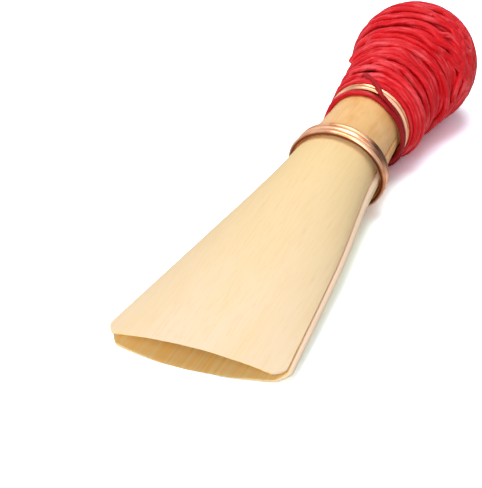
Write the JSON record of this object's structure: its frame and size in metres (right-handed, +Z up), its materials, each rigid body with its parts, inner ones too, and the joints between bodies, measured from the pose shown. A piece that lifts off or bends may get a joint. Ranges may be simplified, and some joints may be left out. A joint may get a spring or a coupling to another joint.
{
  "type": "bassoon reed",
  "caption": "Double reed for a bassoon: shaped cane blades bound by wires and a wound thread turban, with a lens-shaped mouth at the tip and a round bore for the bocal at the butt.",
  "frame": {"origin": "centre of the bounding box at its bottom, on the surface that the reed lies on", "axes": "+Y from the reed's tip towards its butt, +X across the blades, +Z up. The reed lies on its turban and its lower lip, so its own axis rises 5.67 degrees towards +Y."},
  "size_m": [0.0156, 0.0544, 0.0124],
  "materials": {
    "cane": "scraped pale cane with golden bark on the tube",
    "wire": "soft drawn copper-coloured wire, lightly polished",
    "thread": "red waxed thread, satin"
  },
  "bodies": {
    "root": {"upper_blade": "cane", "lower_blade": "cane", "first_wire": "wire", "second_wire": "wire", "third_wire": "wire", "thread_core": "thread", "outer_thread": "thread"}
  },
  "joints": []
}
